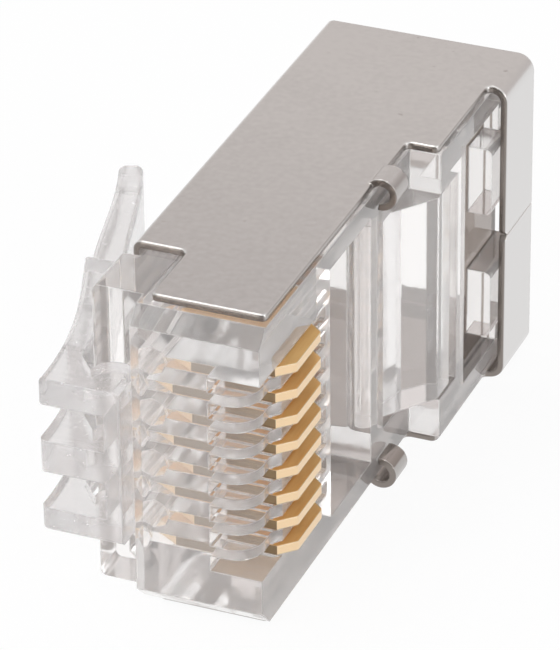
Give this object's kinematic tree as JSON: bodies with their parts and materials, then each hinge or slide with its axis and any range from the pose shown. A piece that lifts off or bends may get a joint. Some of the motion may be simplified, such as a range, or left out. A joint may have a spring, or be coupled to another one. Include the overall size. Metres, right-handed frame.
{
  "type": "shielded modular plug",
  "caption": "Clear shielded crimp-on modular plug with side latch, blade contacts and a folded metal shell, before a cable is fitted.",
  "frame": {"origin": "centre of the flat front face of the plug's nose", "axes": "-Y out of the nose, +Y towards the cable end, +X towards the side where the contacts show, +Z across the plug's width, upwards as it lies on its side"},
  "size_m": [0.0142, 0.0228, 0.0126],
  "materials": {
    "clear_plastic": "clear moulded polycarbonate, lightly scratched",
    "shield_metal": "satin nickel plate",
    "contact_gold": "gold plate, satin"
  },
  "bodies": {
    "plug_body": {"housing": "clear_plastic", "shield": "shield_metal"},
    "latch": {"latch": "clear_plastic"},
    "crimp_bar": {"crimp_bar": "clear_plastic"},
    "contact_1": {"contact_1": "contact_gold"},
    "contact_2": {"contact_2": "contact_gold"},
    "contact_3": {"contact_3": "contact_gold"},
    "contact_4": {"contact_4": "contact_gold"},
    "contact_5": {"contact_5": "contact_gold"},
    "contact_6": {"contact_6": "contact_gold"},
    "contact_7": {"contact_7": "contact_gold"},
    "contact_8": {"contact_8": "contact_gold"}
  },
  "joints": [
    {"name": "latch_press", "type": "hinge", "parent": "plug_body", "child": "latch", "pos_m": [-0.0032, 0.00036, 0], "axis": [0, 0, -1], "range_deg": [0, 10], "stiffness_Nm_per_rad": 0.3},
    {"name": "crimp_bar_swing", "type": "hinge", "parent": "plug_body", "child": "crimp_bar", "pos_m": [0.0016, 0.01188, 0], "axis": [0, 0, 1], "range_deg": [0, 25]},
    {"name": "contact_1_press", "type": "slide", "parent": "plug_body", "child": "contact_1", "axis": [-1, 0, 0], "range_m": [0, 0.00095]},
    {"name": "contact_2_press", "type": "slide", "parent": "plug_body", "child": "contact_2", "axis": [-1, 0, 0], "range_m": [0, 0.00095]},
    {"name": "contact_3_press", "type": "slide", "parent": "plug_body", "child": "contact_3", "axis": [-1, 0, 0], "range_m": [0, 0.00095]},
    {"name": "contact_4_press", "type": "slide", "parent": "plug_body", "child": "contact_4", "axis": [-1, 0, 0], "range_m": [0, 0.00095]},
    {"name": "contact_5_press", "type": "slide", "parent": "plug_body", "child": "contact_5", "axis": [-1, 0, 0], "range_m": [0, 0.00095]},
    {"name": "contact_6_press", "type": "slide", "parent": "plug_body", "child": "contact_6", "axis": [-1, 0, 0], "range_m": [0, 0.00095]},
    {"name": "contact_7_press", "type": "slide", "parent": "plug_body", "child": "contact_7", "axis": [-1, 0, 0], "range_m": [0, 0.00095]},
    {"name": "contact_8_press", "type": "slide", "parent": "plug_body", "child": "contact_8", "axis": [-1, 0, 0], "range_m": [0, 0.00095]}
  ]
}
